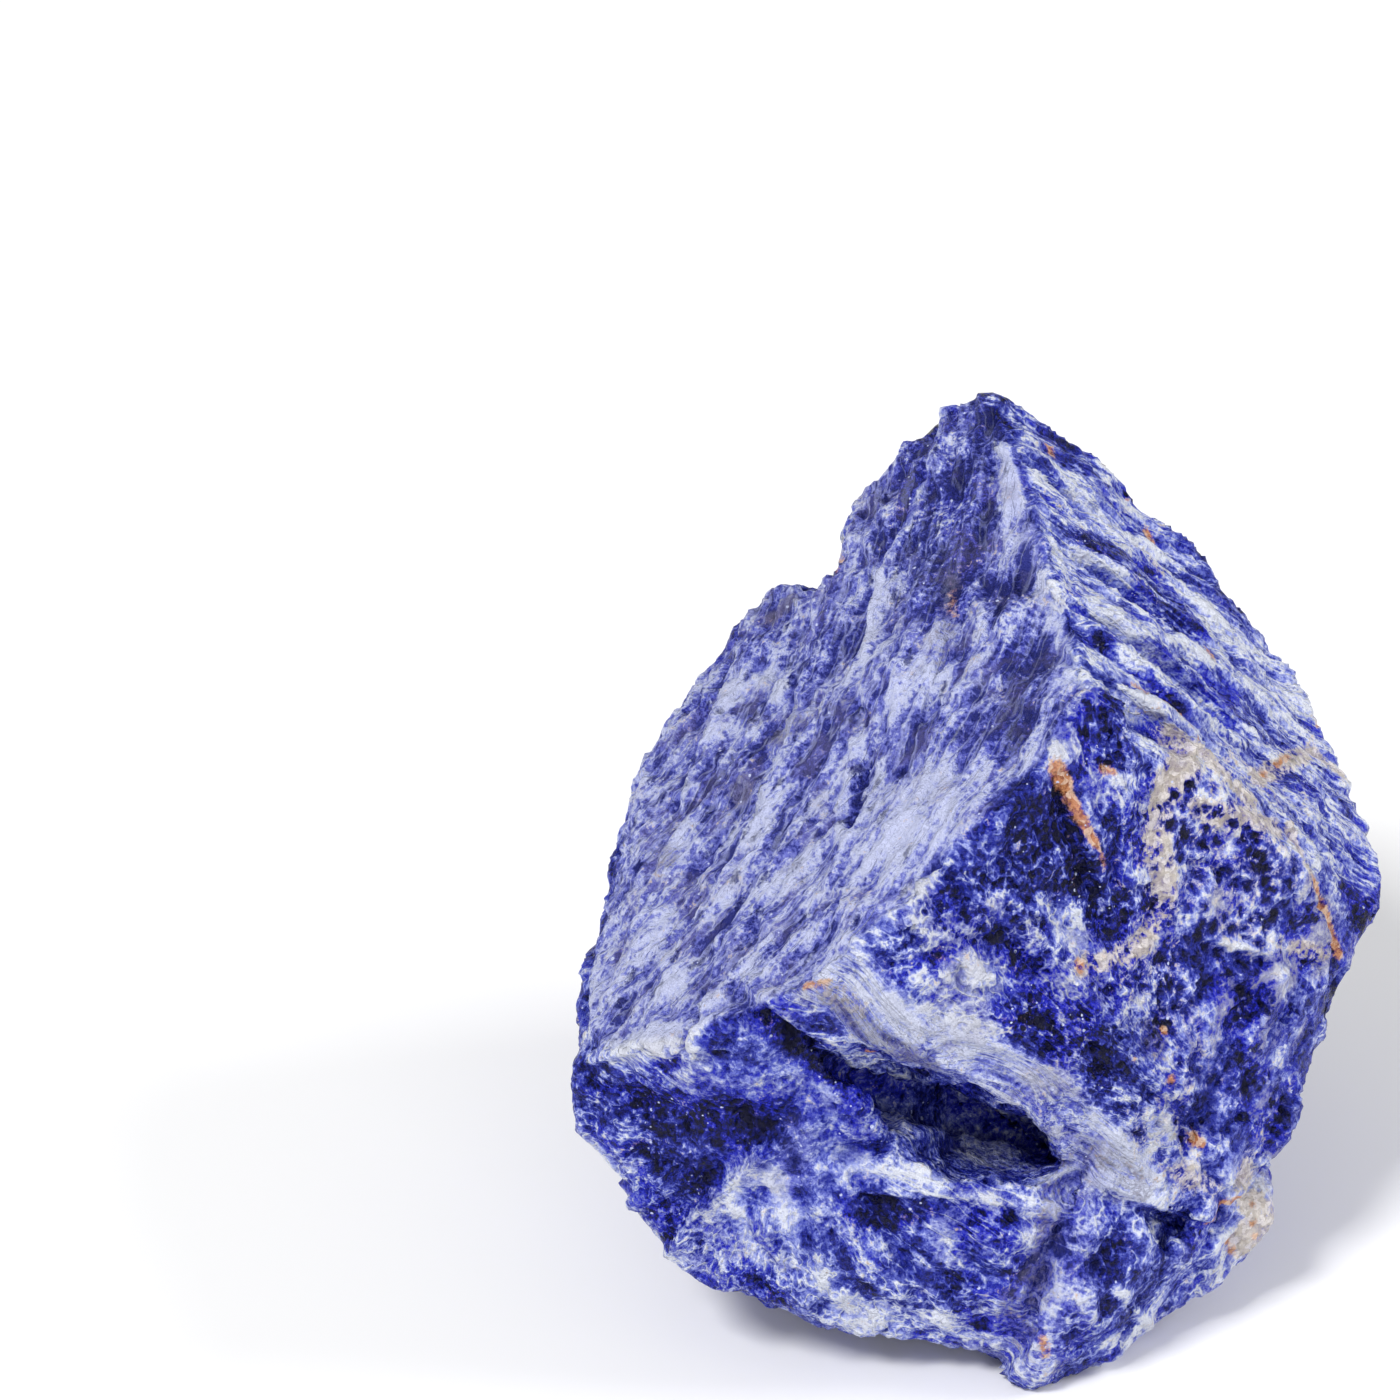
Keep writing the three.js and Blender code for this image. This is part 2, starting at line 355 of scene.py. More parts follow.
# Where the markings lie: half width in mm, strength, and the pixels that each one passes through.
whiteCloudsAndHighlights = {
    "fanPatch": (2, 1, (728, 690), (760, 682)),
    "fanStreak": (0.9, 0.6, (765, 690), (800, 700)),
    "leftSpot": (1.4, 0.8, (690, 788)),
    "blister": (0.7, 0.9, (848, 780), (842, 812)),
    "hemPatch": (1.8, 1, (612, 1060), (640, 1048), (662, 1040)),
    "hemWedge": (1.2, 0.8, (712, 1004), (694, 1048)),
    "lowSpot": (1.5, 0.7, (676, 984)),
    "centreHaze": (3.6, 0.55, (905, 780), (935, 840)),
    "longLine": (0.6, 1, *longLine),
    "longLineLow": (0.45, 0.7, (884, 640), (862, 760), (836, 840)),
    "ridgeEdge": (0.9, 0.65, (1079, 715), (1064, 752), (1026, 797), (1000, 818), (990, 850)),
    "ridgeEdgeLow": (1.2, 0.75, (945, 870), (905, 897), (880, 922), (855, 948), (822, 974)),
    "slopePatch": (1.9, 1, (1104, 606), (1118, 630)),
    "slopeUpper": (1.1, 0.9, (1094, 575), (1110, 588)),
    "slopeCream": (1, 0.8, (1054, 541), (1072, 556)),
    "slopeTop": (1.4, 0.7, (1056, 490), (1085, 505), (1110, 520)),
    "ridgeTop": (1.5, 0.75, (1002, 462), (1012, 500)),
    # Painted highlights on the knobs along the ridge crest.
    "ridgeKnobHighlights": (0.8, 0.9, (1043, 585), (1052, 625), (1063, 653), (1092, 690)),
    "slopeLow": (0.8, 0.6, (1120, 668), (1160, 700), (1200, 726)),
    "slopeRight": (1.3, 0.5, (1212, 640), (1250, 680), (1285, 720)),
    "pyramidLine": (0.25, 0.9, (1097, 697), (1098, 726)),
    "frontCloud": (1.5, 0.95, (964, 970), (985, 980), (1005, 990)),
    "frontCloudLow": (1.4, 0.8, (912, 1012), (950, 1022), (998, 1045)),
    "frontStreak": (0.9, 0.7, (1044, 902), (1062, 930), (1086, 951)),
    "darkMist": (0.8, 0.8, (1064, 902), (1080, 926)),
    "wedgeMist": (1.2, 0.7, (1114, 872), (1148, 880)),
    "darkFleck": (0.6, 0.6, (1052, 884), (1060, 892)),
    "pyramidSpot": (0.7, 0.95, (1114, 776), (1132, 784)),
    "pyramidRight": (0.7, 0.7, (1136, 724), (1146, 752)),
    "royalStreak": (0.4, 0.7, (962, 886), (1000, 918), (1036, 956)),
    "royalStreakLow": (0.4, 0.7, (940, 900), (972, 936), (1010, 962)),
    "specklePatch": (1.5, 1, (892, 1004), (912, 1016)),
    "ringSpot": (1.2, 0.7, (1284, 983)),
    "edgeSpot": (1, 0.8, (1304, 1030)),
    # A painted glint along the flat ledge.
    "glintLedge": (0.5, 1, (1220, 944), (1258, 952)),
    "clusterSpots": (1.3, 0.9, (1150, 1125), (1165, 1133)),
    "rightHaze": (1.8, 0.6, (1195, 1030), (1215, 1070)),
    "rightLines": (0.7, 0.6, (1268, 1030), (1276, 1075), (1256, 1110)),
    "rightRing": (0.5, 0.9, (1264, 978), (1280, 968), (1292, 980), (1282, 994)),
    "bandUpper": (1.3, 0.7, (860, 985), (888, 1022), (926, 1040), (957, 1050)),
    "bandMiddle": (1.4, 0.75, (957, 1052), (1003, 1066), (1041, 1082), (1067, 1104)),
    "bandLower": (1.6, 0.75, (1092, 1130), (1130, 1172), (1160, 1190)),
    # A painted highlight along the lit top edge of the ledge below the hollow.
    "recessLedgeHighlight": (0.7, 0.85, (850, 1168), (930, 1176), (1000, 1180), (1073, 1174)),
    "cheekLine": (0.6, 0.8, (826, 1089), (831, 1113)),
    "stripLine": (0.4, 0.8, (868, 1086), (892, 1103), (914, 1121)),
    "cheekFoot": (0.8, 0.9, (842, 1152), (864, 1158)),
    "footEdge": (1.1, 0.8, (592, 1150), (612, 1168)),
    "bellyFan": (1, 0.85, (772, 1175), (784, 1220), (800, 1262)),
    "bellyFanLeft": (0.8, 0.7, (735, 1190), (742, 1225), (760, 1262)),
    "bellyCloud": (1.6, 0.9, (790, 1222)),
    "bellyBase": (2, 0.9, (806, 1268), (835, 1300), (856, 1322)),
    "bellySpot": (1.3, 0.8, (905, 1273)),
    "bellyLow": (1.1, 0.6, (920, 1320), (960, 1335)),
    "bellyRight": (1, 0.6, (945, 1222), (952, 1240)),
    "rumpStreak": (0.5, 0.4, (1066, 1150), (1058, 1190), (1050, 1240)),
    "rumpStreakLow": (0.4, 0.8, (1056, 1245), (1036, 1275), (1022, 1300)),
    "rumpFork": (0.4, 0.6, (1052, 1250), (1060, 1290), (1048, 1330)),
    "rumpBase": (0.9, 0.6, (1100, 1345), (1125, 1336)),
    "bellyPatch": (0.8, 0.8, (940, 1315), (952, 1330)),
    "clusterRing": (0.7, 0.9, (1148, 1118), (1162, 1140), (1150, 1152)),
    "clusterRight": (0.8, 0.7, (1180, 1160), (1200, 1172)),
    "rumpEdge": (0.5, 0.9, (1115, 1290), (1150, 1332)),
    "creamBlock": (2.8, 1, (1240, 1178), (1256, 1206), (1240, 1240)),
}
creamVeins = {
    "backboneTop": (1.5, 0.9, (1172, 742), (1186, 760), (1168, 786)),
    "backbone": (1.1, 1, (1164, 790), (1156, 836), (1164, 874), (1161, 909)),
    "backboneFoot": (0.9, 0.9, (1161, 909), (1145, 944), (1114, 958), (1082, 968)),
    "arch": (0.9, 0.7, (1196, 806), (1222, 818), (1252, 815), (1280, 826)),
    "right": (0.8, 1, (1292, 828), (1306, 858), (1314, 876)),
    "rightFoot": (0.8, 0.8, (1297, 947), (1322, 955)),
    "corner": (0.9, 1, (1258, 775), (1282, 763), (1305, 753)),
    "cornerSpot": (1, 0.9, (1312, 752), (1334, 776)),
    "rightLow": (0.9, 0.8, (1314, 876), (1326, 912), (1338, 950)),
    "edge": (0.8, 0.6, (1200, 748), (1230, 775), (1255, 800)),
    "block": (1.9, 0.9, (1246, 1175), (1260, 1215), (1244, 1240)),
    "noseShade": (1, 0.5, (832, 992), (862, 1010)),
    "lipSpecks": (1.2, 0.5, (1185, 1175), (1215, 1190)),
    "slope": (0.7, 0.5, (1138, 545), (1160, 570)),
}
amberVeins = {
    "wedgeTop": (0.75, 1, (1057, 768), (1066, 785)),
    "wedge": (0.48, 0.95, (1066, 785), (1084, 825), (1095, 843)),
    "wedgeTail": (0.28, 0.55, (1095, 843), (1106, 868)),
    "pyramidFoot": (0.4, 0.7, (1104, 769), (1114, 772)),
    "edgeLine": (0.3, 0.9, (1169, 700), (1190, 722), (1204, 742)),
    "edgeLineTop": (0.3, 0.7, (1135, 681), (1150, 690)),
    "rightStreak": (0.6, 1, (1316, 880), (1323, 897), (1334, 930), (1340, 954)),
    "corner": (0.4, 0.8, (1280, 762), (1290, 755)),
    "cornerHigh": (0.9, 0.75, (1312, 729)),
    "cornerLow": (0.4, 0.7, (1262, 774), (1268, 771)),
    "slope": (0.5, 0.9, (1148, 532), (1154, 540)),
    "slopeTop": (0.5, 0.8, (1050, 444), (1055, 452)),
    "slopeMiddle": (0.4, 0.6, (1131, 497)),
    "slopeLow": (0.5, 0.7, (1208, 650), (1214, 658)),
    "nose": (0.5, 0.7, (806, 986), (826, 984)),
    "lip": (0.5, 0.9, (870, 1052)),
    "backbone": (0.7, 0.7, (1080, 966)),
    "grain": (0.4, 0.8, (1166, 1031)),
    "grainLow": (0.5, 0.7, (1170, 1079)),
    "grainLeft": (0.35, 0.7, (1135, 1059)),
    "cluster": (0.4, 1, (1194, 1134), (1200, 1144)),
    "block": (0.35, 1, (1208, 1222), (1222, 1206), (1236, 1196)),
    "blockSpeck": (0.4, 0.8, (1250, 1206)),
    "blockSpeckLow": (0.5, 0.8, (1232, 1251)),
    "blockSpeckTop": (0.35, 0.9, (1252, 1223)),
    "blockSpeckLeft": (0.35, 0.9, (1230, 1244)),
    "blockSpeckEdge": (0.4, 0.8, (1252, 1235)),
    "rumpPink": (0.5, 0.7, (1044, 1340), (1046, 1356)),
    "shoulderBrown": (0.6, 0.42, (951, 590), (953, 612)),
    "outlineBrown": (0.5, 0.5, (830, 556), (838, 545)),
}
navyPoolsAndShade = {
    "pyramid": (3, 0.85, (1098, 716), (1106, 742)),
    "frontDark": (3.2, 0.85, (1030, 820), (1050, 850), (1080, 870)),
    "frontDarkLow": (2.4, 0.95, (1100, 905), (1135, 915)),
    "besideWedge": (1.6, 0.7, (1120, 795), (1128, 825)),
    "royalPool": (2.8, 0.75, (960, 890), (990, 912), (1025, 935)),
    "speck": (1.1, 1, (1180, 831)),
    "speckTop": (0.9, 1, (1208, 814)),
    "speckLeft": (0.6, 1, (1173, 794)),
    "speckHigh": (0.8, 1, (1194, 783)),
    "speckPair": (0.7, 1, (1218, 812)),
    "grainMiddle": (1.5, 0.7, (1256, 845)),
    "grainRight": (1.4, 0.7, (1270, 883)),
    "knot": (1.3, 1, (1163, 973)),
    "knotRight": (1.8, 0.85, (1250, 1010)),
    "edgeKnot": (1.5, 0.9, (1304, 918)),
    "edgeKnotLow": (1, 0.8, (1310, 960)),
    "rightTip": (1.8, 0.8, (1350, 890), (1362, 915)),
    "lowerDark": (2.6, 0.85, (1010, 1020), (1060, 1035), (1100, 1050)),
    "lowerDarkEdge": (1.6, 0.6, (1086, 1095), (1050, 1100)),
    "rightShade": (2.6, 0.6, (1250, 1075), (1262, 1120)),
    "clusterDark": (0.7, 0.9, (1146, 1136)),
    "clusterDarkLow": (0.7, 0.9, (1172, 1150)),
    "slopeBlob": (2.2, 0.8, (1150, 600), (1190, 612)),
    "slopeBand": (1, 0.7, (1062, 528), (1110, 548), (1163, 568)),
    "slopeBandLow": (1.1, 0.65, (1075, 600), (1120, 655), (1180, 700)),
    "apex": (3.4, 0.95, (932, 440), (924, 500), (905, 540)),
    "apexCrown": (2.4, 0.75, (985, 398), (1000, 430)),
    "apexRight": (3.4, 1, (978, 410), (970, 470), (955, 530), (950, 590)),
    "apexLow": (2.4, 0.7, (1010, 590), (1030, 670), (1015, 740)),
    "left": (1.3, 0.6, (762, 636), (792, 632)),
    "leftTop": (1, 0.6, (776, 590)),
    "leftLow": (1.1, 0.55, (690, 705), (710, 700)),
    "leftRight": (0.9, 0.55, (842, 606)),
    "hem": (0.9, 0.8, (655, 1075), (675, 1060)),
    "foot": (3.2, 0.75, (600, 1100), (650, 1110), (720, 1120), (770, 1130)),
    "footLow": (2.2, 0.8, (660, 1165), (700, 1180)),
    # Painted shade under the lip's overhang, over the strip's own navy.
    "underLip": (1.3, 0.9, (775, 1030), (800, 1050), (835, 1075), (880, 1100)),
    # Painted shade in the hollow under the lip.
    "recessShade": (1.3, 0.4, (930, 1092), (970, 1106), (1010, 1132), (1050, 1156)),
    "cheek": (2.4, 0.5, (846, 1108), (872, 1142)),
    "rumpShade": (0.8, 0.7, (1040, 1262), (1046, 1240)),
    "rumpTone": (2.2, 0.6, (1072, 1250), (1068, 1300), (1052, 1350)),
    "spurTone": (1.6, 0.5, (1036, 1350), (1046, 1378)),
    # Painted shade: darker along the blister's crack, in the pits and in the hem crack, where shade falls.
    "blisterCrackShade": (0.5, 1, (863, 765), (858, 790), (846, 824)),
    "pitShade": (0.8, 0.9, (901, 772)),
    "pitRowShade": (0.4, 0.8, (754, 906), (742, 950), (726, 974)),
    "hemCrack": (0.5, 0.9, (708, 990), (696, 1020), (685, 1051)),
    "upper": (3.4, 0.4, (750, 640), (800, 665), (850, 650)),
    "upperLow": (2.4, 0.3, (700, 800), (740, 760)),
    "recessStain": (0.5, 1, (936, 1090), (938, 1122)),
    # Painted shade at the lower corner of the hollow under the lip.
    "recessCornerShade": (0.9, 0.4, (906, 1100), (912, 1122)),
    "belly": (1.8, 0.9, (740, 1285), (775, 1297)),
    "bellyMiddle": (1.4, 0.7, (868, 1205), (884, 1222)),
    "bellyLeft": (1, 0.6, (842, 1196), (850, 1214)),
    "bellyDark": (1.2, 0.7, (975, 1215), (1005, 1222)),
    "bellyCorner": (1.3, 0.75, (1004, 1236), (1018, 1280)),
    "bellyLow": (1.3, 0.6, (955, 1290), (972, 1322)),
    "rumpBlob": (1.5, 0.6, (1112, 1232), (1124, 1262)),
    "rumpBlobRight": (1.4, 0.4, (1165, 1232), (1190, 1240)),
    "rumpBlobLow": (1.2, 0.5, (1100, 1300), (1128, 1318)),
    "footRim": (1.6, 0.7, (650, 1200), (690, 1240)),
}
greyStains = {
    "left": (1.6, 0.8, (742, 792)),
    "leftTop": (1.3, 0.7, (778, 736), (800, 730)),
    "leftHigh": (1.2, 0.6, (846, 700)),
    "leftLow": (1.5, 0.6, (669, 858)),
    "shoulder": (1, 0.8, (772, 613), (790, 600)),
    "ridge": (1.2, 0.5, (951, 580), (940, 660)),
    "front": (1.6, 0.5, (1140, 1030), (1160, 1048)),
    "band": (1.3, 0.7, (832, 996), (880, 1042), (930, 1066)),
    "lip": (1.3, 0.5, (1100, 1150), (1140, 1190)),
    "rump": (1.6, 0.55, (1060, 1160), (1050, 1230), (1034, 1300)),
    "rumpLow": (1.3, 0.45, (1010, 1300), (1020, 1340), (1060, 1370)),
    "edgeBrown": (0.6, 0.8, (1154, 717), (1165, 722)),
}
webFields = {
    "top": (5, 1, (1190, 790), (1230, 830), (1270, 860)),
    "middle": (4.5, 0.9, (1170, 860), (1210, 900), (1250, 930)),
    "low": (3.5, 0.8, (1150, 980), (1180, 1030), (1200, 1070)),
    "cluster": (3, 0.8, (1150, 1125), (1185, 1150)),
    "slope": (3, 0.7, (1235, 770), (1290, 800)),
}
lavenderFields = {
    "rump": (2.6, 0.8, (1080, 1178), (1064, 1212), (1056, 1250), (1040, 1300), (1034, 1350)),
    "rumpRight": (1.8, 0.6, (1078, 1260), (1086, 1310)),
    "fan": (1.5, 0.7, (800, 1130), (796, 1160), (780, 1190)),
    "apex": (1.4, 0.5, (1012, 460), (1030, 520), (1034, 560)),
}
# Painted light: spots painted paler and given more painted glints, mostly the shaded cheek and the floor of
# the hollow under the lip.
paintedLightFields = {
    "cheek": (2.6, 0.7, (840, 1100), (868, 1128), (884, 1148)),
    "recessFloor": (2.6, 1, (918, 1122), (950, 1140), (1010, 1152)),
    "frontDark": (3, 0.45, (1035, 830), (1075, 880), (1130, 910)),
    "lowerDark": (2.4, 0.45, (1010, 1015), (1060, 1030)),
    "foot": (2.4, 0.35, (620, 1120), (700, 1130)),
}
markings = {
    "white": whiteCloudsAndHighlights,
    "cream": creamVeins,
    "amber": amberVeins,
    "navy": navyPoolsAndShade,
    "grey": greyStains,
    "web": webFields,
    "lavender": lavenderFields,
    "paintedLight": paintedLightFields,
}
# Folds of the surface: half width in mm, height in mm (below zero for a groove), and the pixels.
folds = {
    "longRidge": (0.6, 0.5, *longLine),
    "middle": (1, 0.35, (930, 560), (905, 640), (890, 720), (868, 800), (838, 870)),
    "low": (1.1, 0.35, (800, 720), (770, 800), (730, 870), (690, 930)),
    "lowFoot": (1.2, -0.35, (818, 740), (790, 815), (750, 885), (705, 950)),
    "hem": (1.2, 0.4, (680, 870), (650, 930), (615, 990), (590, 1040)),
    "hemFoot": (1, -0.35, (735, 900), (700, 960), (668, 1010)),
    "ridge": (1.2, 0.35, (1010, 600), (990, 690), (960, 780), (915, 850)),
    "ridgeFoot": (1.3, -0.4, (1035, 640), (1020, 720), (990, 790)),
    "blister": (0.7, -0.6, (864, 766), (856, 790), (844, 822)),
    "blisterTop": (0.7, 0.3, (852, 770), (845, 795), (836, 815)),
    "pit": (0.8, -0.6, (901, 772)),
    "pitRow": (0.5, -0.5, (762, 908), (752, 928)),
    "pitRowLow": (0.5, -0.5, (738, 951), (724, 974)),
    "hemCrack": (0.6, -1.2, (706, 992), (695, 1020), (684, 1052)),
    "hemCrackRight": (0.7, -0.7, (742, 1000), (728, 1048)),
    "underLip": (1.1, -1, (762, 1014), (790, 1040), (830, 1068), (870, 1090), (895, 1106)),
    "bandGroove": (0.5, -0.35, (888, 1040), (930, 1056), (985, 1068), (1030, 1092)),
    "bandGrooveLow": (0.5, -0.3, (1050, 1110), (1085, 1145), (1120, 1178)),
    "ledgeFoot": (0.7, -0.4, (860, 1178), (930, 1176), (1000, 1180), (1060, 1190)),
    "rumpCleft": (0.9, -0.8, (1090, 1170), (1074, 1215), (1050, 1262), (1034, 1305), (1028, 1340)),
    "rump": (1, 0.35, (1102, 1190), (1084, 1240), (1066, 1285), (1056, 1340)),
    "rumpRight": (0.6, 0.5, (1118, 1285), (1138, 1312), (1152, 1332)),
    "footRidge": (1, 0.7, (806, 1124), (772, 1142), (735, 1172), (702, 1200), (676, 1240)),
    "footDip": (2.6, -0.8, (640, 1105), (690, 1120), (740, 1120)),
    "footDipLow": (1.6, -0.5, (640, 1160), (690, 1172)),
    "cheekEdge": (0.7, 0.5, (898, 1108), (900, 1130), (896, 1155)),
    "bellyStep": (0.8, -0.5, (760, 1190), (778, 1230), (792, 1275)),
    "bellyStepRight": (0.9, -0.5, (870, 1225), (905, 1262), (930, 1310)),
    "bellyStepLow": (0.9, -0.4, (960, 1230), (975, 1275), (985, 1330)),
    "wedgeGroove": (1, -0.4, (1062, 800), (1078, 850), (1094, 900)),
    "fanGroove": (0.9, -0.45, (1010, 850), (1050, 905), (1092, 955)),
    "fanRidge": (0.9, 0.35, (985, 862), (1030, 920), (1070, 975)),
    "fanGrooveLow": (1, -0.4, (935, 905), (985, 955), (1040, 1000)),
    "glintLedge": (0.5, 0.4, (1220, 942), (1258, 950)),
    "glintLedgeFoot": (0.8, -0.4, (1216, 956), (1260, 965)),
    "frontStep": (1, -0.4, (1140, 1000), (1180, 1035), (1215, 1085)),
    "frontStepRight": (1, -0.4, (1215, 985), (1240, 1040), (1252, 1100)),
    "archStep": (0.7, 0.3, (1200, 800), (1250, 820), (1285, 850)),
}
# Broad swells, in the same terms. They draw the outline and leave the colours as they are.
swells = {
    "cheek": (2.4, 1.5, (848, 1102), (872, 1128), (884, 1146)),
    "floor": (2.4, 1.6, (915, 1140), (960, 1150), (1010, 1156)),
    "pocketFill": (2.2, 1.6, (1156, 1222), (1176, 1234)),
    "rumpFill": (2.4, 0.7, (1110, 1236), (1150, 1246), (1182, 1250)),
    "apex": (2, 0.6, (985, 388), (1000, 398)),
    "apexLeft": (2.2, 0.7, (948, 412), (921, 424), (908, 448)),
    "leftTop": (2.6, 0.35, (880, 472), (858, 500), (838, 540)),
    "slope": (2.6, 0.7, (1168, 525), (1200, 548), (1222, 580)),
    "slopeLow": (3.4, 0.9, (1290, 675), (1312, 704), (1332, 745), (1340, 775)),
    "tip": (2.6, 0.6, (1378, 854), (1390, 888), (1376, 918), (1355, 955)),
    "tipLeft": (2.6, 0.7, (566, 1050), (558, 1085), (566, 1115)),
    "foot": (2.4, 0.5, (584, 1140), (610, 1168), (640, 1220)),
    "footLow": (2.4, 0.5, (650, 1245), (672, 1264), (705, 1280)),
    "block": (2.6, 0.5, (1284, 1125), (1274, 1180), (1264, 1225)),
    "rump": (2.6, 0.6, (1243, 1258), (1205, 1298), (1150, 1335), (1110, 1358)),
    "shoulderDip": (2.4, -0.8, (724, 648), (755, 612)),
}
# Steps of the surface: half width in mm, how many mm the side on the line's left is higher, and the pixels.
cliffs = {
    "lipBrow": (2.6, 1.1, (748, 992), (792, 1029), (831, 1053), (874, 1068), (908, 1078), (957, 1082)),
    "lipBrowLow": (2.2, 0.9, (1005, 1116), (1034, 1140), (1068, 1164), (1097, 1184), (1146, 1208),
                   (1200, 1220)),
    "strip": (1.6, -0.7, (785, 1036), (815, 1060), (845, 1078), (880, 1100), (899, 1114)),
    "bandTop": (2, 0.45, (850, 954), (888, 1014), (926, 1032), (957, 1042), (1003, 1052), (1041, 1065),
                (1067, 1090), (1092, 1116), (1130, 1162)),
    "ledge": (2, -0.7, (850, 1160), (900, 1157), (960, 1158), (1015, 1161), (1073, 1167)),
    "ledgeLow": (1.8, 0.7, (872, 1196), (940, 1198), (1010, 1208), (1055, 1222)),
    "rump": (2.6, 0.8, (1096, 1165), (1078, 1205), (1056, 1255), (1040, 1300), (1030, 1345)),
    "rumpShoulder": (2.2, -0.4, (1185, 1205), (1140, 1208), (1104, 1230), (1090, 1275), (1100, 1310)),
    "foot": (2.6, 1, (806, 1122), (772, 1140), (735, 1170), (702, 1198), (676, 1238)),
    "hem": (1.6, 0.8, (557, 1092), (590, 1066), (640, 1049), (668, 1060), (690, 1051), (722, 1053)),
    "crack": (1.6, 0.9, (708, 990), (696, 1020), (685, 1051)),
    "fissure": (1.3, -0.7, (864, 764), (858, 790), (846, 824)),
    "long": (2.4, 0.7, (949, 412), (930, 465), (908, 518), (882, 571), (869, 633), (862, 700)),
    "hollow": (2.2, 0.5, (812, 610), (800, 690), (775, 770), (740, 850), (700, 915)),
    "left": (2.2, 0.5, (716, 705), (690, 770), (668, 835), (640, 900), (618, 960)),
    "low": (2.2, -0.5, (880, 850), (845, 905), (800, 960), (755, 990)),
    "ridge": (2.2, -0.5, (985, 470), (975, 540), (985, 610), (980, 680), (955, 760)),
    "knobTop": (2.2, 0.7, (1002, 456), (1060, 492), (1120, 540), (1190, 596), (1236, 648)),
    "knobHigh": (2.2, 0.8, (1025, 512), (1075, 548), (1135, 600), (1190, 650), (1262, 706)),
    "knobMiddle": (2.2, 0.8, (1043, 585), (1085, 625), (1140, 668), (1200, 715), (1285, 762)),
    "knobLow": (1.6, 0.6, (1063, 653), (1100, 680), (1150, 705), (1200, 738)),
    "edge": (1.2, 0.4, (1098, 685), (1150, 712), (1197, 744), (1240, 782), (1282, 817), (1309, 856)),
    "wedge": (1.8, 0.6, (1053, 765), (1068, 800), (1086, 850), (1104, 900)),
    "pyramid": (1.6, -0.5, (1150, 770), (1120, 764), (1090, 756)),
    "backbone": (1.8, 0.5, (1186, 756), (1168, 800), (1160, 850), (1166, 905), (1130, 955)),
    "glint": (1.3, 0.6, (1214, 945), (1264, 955)),
    "frontRight": (1.6, -0.5, (1300, 850), (1318, 890), (1332, 935), (1330, 975)),
    "frontFan": (2, 0.5, (955, 875), (1010, 935), (1070, 990), (1120, 1030)),
    "frontFanLow": (1.8, -0.45, (900, 930), (960, 985), (1030, 1025)),
    "frontLow": (2, 0.6, (1265, 1000), (1240, 1050), (1215, 1110), (1190, 1160)),
    "block": (1.6, 0.7, (1210, 1165), (1228, 1190), (1222, 1225), (1206, 1250)),
    "bellyFan": (2, 0.6, (800, 1150), (806, 1200), (815, 1260)),
    "bellyFanRight": (2, -0.6, (850, 1180), (880, 1230), (905, 1290)),
}
# Streaks spread from a pixel: the side they face, the radius in mm where they are true to scale, and stretch.
fans = {
    "frontFlow": ((1226, 1133), (-0.6, 0.8), 18, 3.5),
    "bellyFlow": ((790, 1125), (0, -1), 12, 4.0),
}
# Lines of pixels that the regions are measured from.
lipLine = [(748, 994), (792, 1031), (831, 1055), (874, 1070), (908, 1080), (957, 1083), (976, 1094),
           (1005, 1118), (1034, 1142), (1068, 1166), (1097, 1186), (1146, 1210), (1204, 1222)]
hemLine = [(557, 1089), (590, 1062), (640, 1045), (668, 1056), (690, 1047), (722, 1050), (745, 1000)]
bandLine = [(820, 975), (850, 985), (888, 1030), (926, 1050), (957, 1060), (1003, 1075), (1041, 1095),
            (1067, 1120), (1092, 1145), (1130, 1180)]
hollowLine = [(925, 1110), (980, 1130), (1040, 1152)]
underSide = [(540, 1080), *hemLine, *lipLine, (1400, 1260)]


def placeOn(tree, pixel):
    # A pixel just outside the outline is drawn in until it meets the stone.
    spot = Vector(pixel)
    inward = (Vector(sight["middle"]) - spot).normalized()
    for drawn in sight["drawnIn"]:
        hit = tree.ray_cast(cameraPlace, towards(spot + inward * drawn).normalized())[0]
        if hit:
            return np.array(hit)
    raise ValueError(f"no stone near pixel {pixel}")


def fromLine(tree, points, pixels):
    return alongLine(points, [placeOn(tree, pixel) for pixel in pixels])


def paintedLayer(tree, points, marks):
    layer = np.zeros(len(points))
    for reach, strength, *pixels in marks.values():
        away = fromLine(tree, points, pixels)[0] / (reach * mm)
        layer = np.maximum(layer, strength * (1 - rise(away, *stoneShape["markFade"])))
    return layer


def lifted(tree, points, lines):
    height = np.zeros(len(points))
    for reach, lift, *pixels in lines.values():
        away = fromLine(tree, points, pixels)[0] / (reach * mm)
        height += lift * mm * np.clip(1 - away / stoneShape["foldReach"], 0, 1) ** stoneShape["foldPower"]
    return height


def folded(tree, points):
    height = lifted(tree, points, folds)
    edge = stoneShape["cliffBreak"]
    for reach, lift, *pixels in cliffs.values():
        away, leftward = fromLine(tree, points, pixels)
        side = rise(leftward, -edge, edge) - 0.5
        height += lift * mm * side * (1 - rise(away / (reach * mm), 0, stoneShape["cliffReach"]))
    return height


